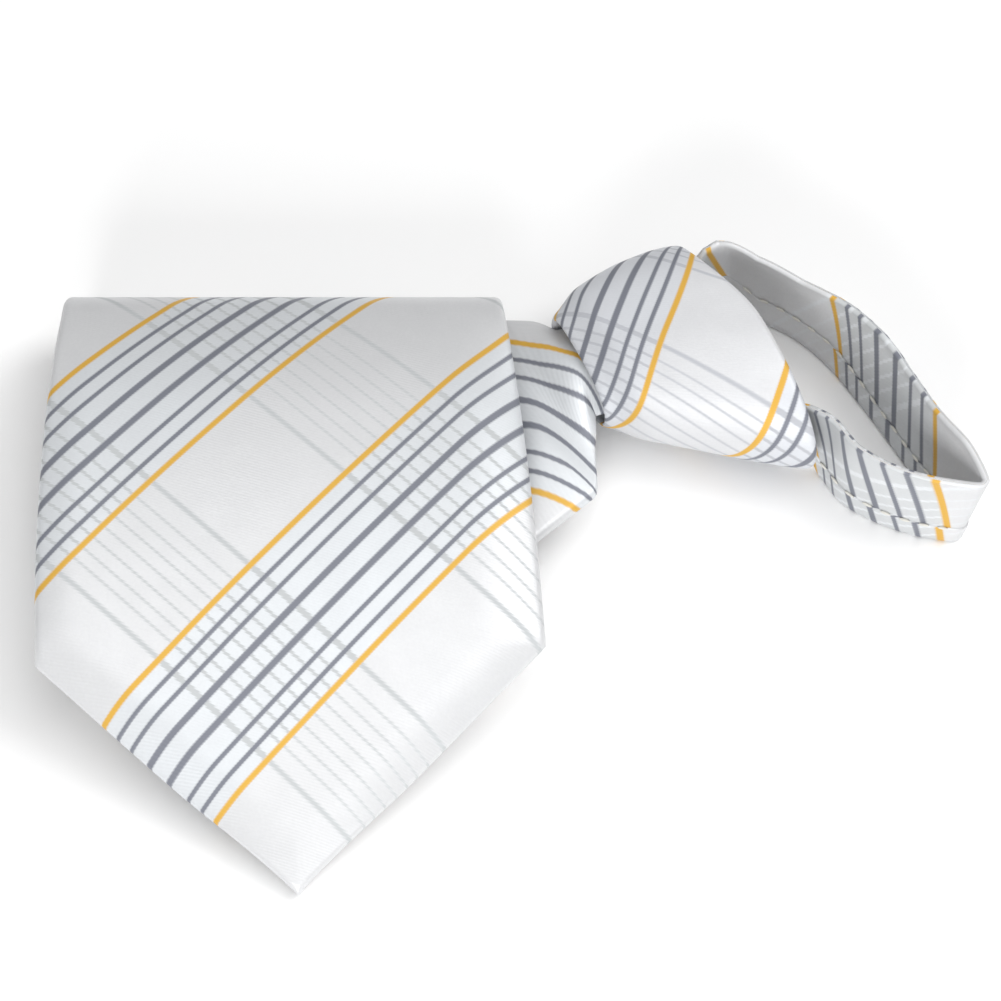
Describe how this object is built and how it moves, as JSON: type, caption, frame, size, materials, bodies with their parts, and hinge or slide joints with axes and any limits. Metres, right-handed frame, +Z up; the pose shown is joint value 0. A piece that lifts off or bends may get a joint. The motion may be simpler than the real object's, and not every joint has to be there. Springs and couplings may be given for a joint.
{
  "type": "zipper tie",
  "caption": "Pre-tied zipper necktie lying rolled: pointed plaid blade on top, cone knot beside it and a small standing neck loop.",
  "frame": {"origin": "middle of the flat underside of the rolled blade, on the surface it lies on", "axes": "+X from the rolled blade towards the knot and the neck loop, +Y from the blade's tip to its top fold, +Z up"},
  "size_m": [0.1668, 0.1246, 0.026],
  "materials": {
    "blade_satin": "woven satin plaid",
    "knot_satin": "woven satin plaid",
    "core_satin": "woven satin plaid",
    "band_satin": "woven satin plaid",
    "zipper_tape": "woven tape"
  },
  "bodies": {
    "root": {"front_blade": "blade_satin", "knot_wrap": "knot_satin", "knot_core": "core_satin", "neck_band": "band_satin", "zipper_tail": "zipper_tape"}
  },
  "joints": []
}
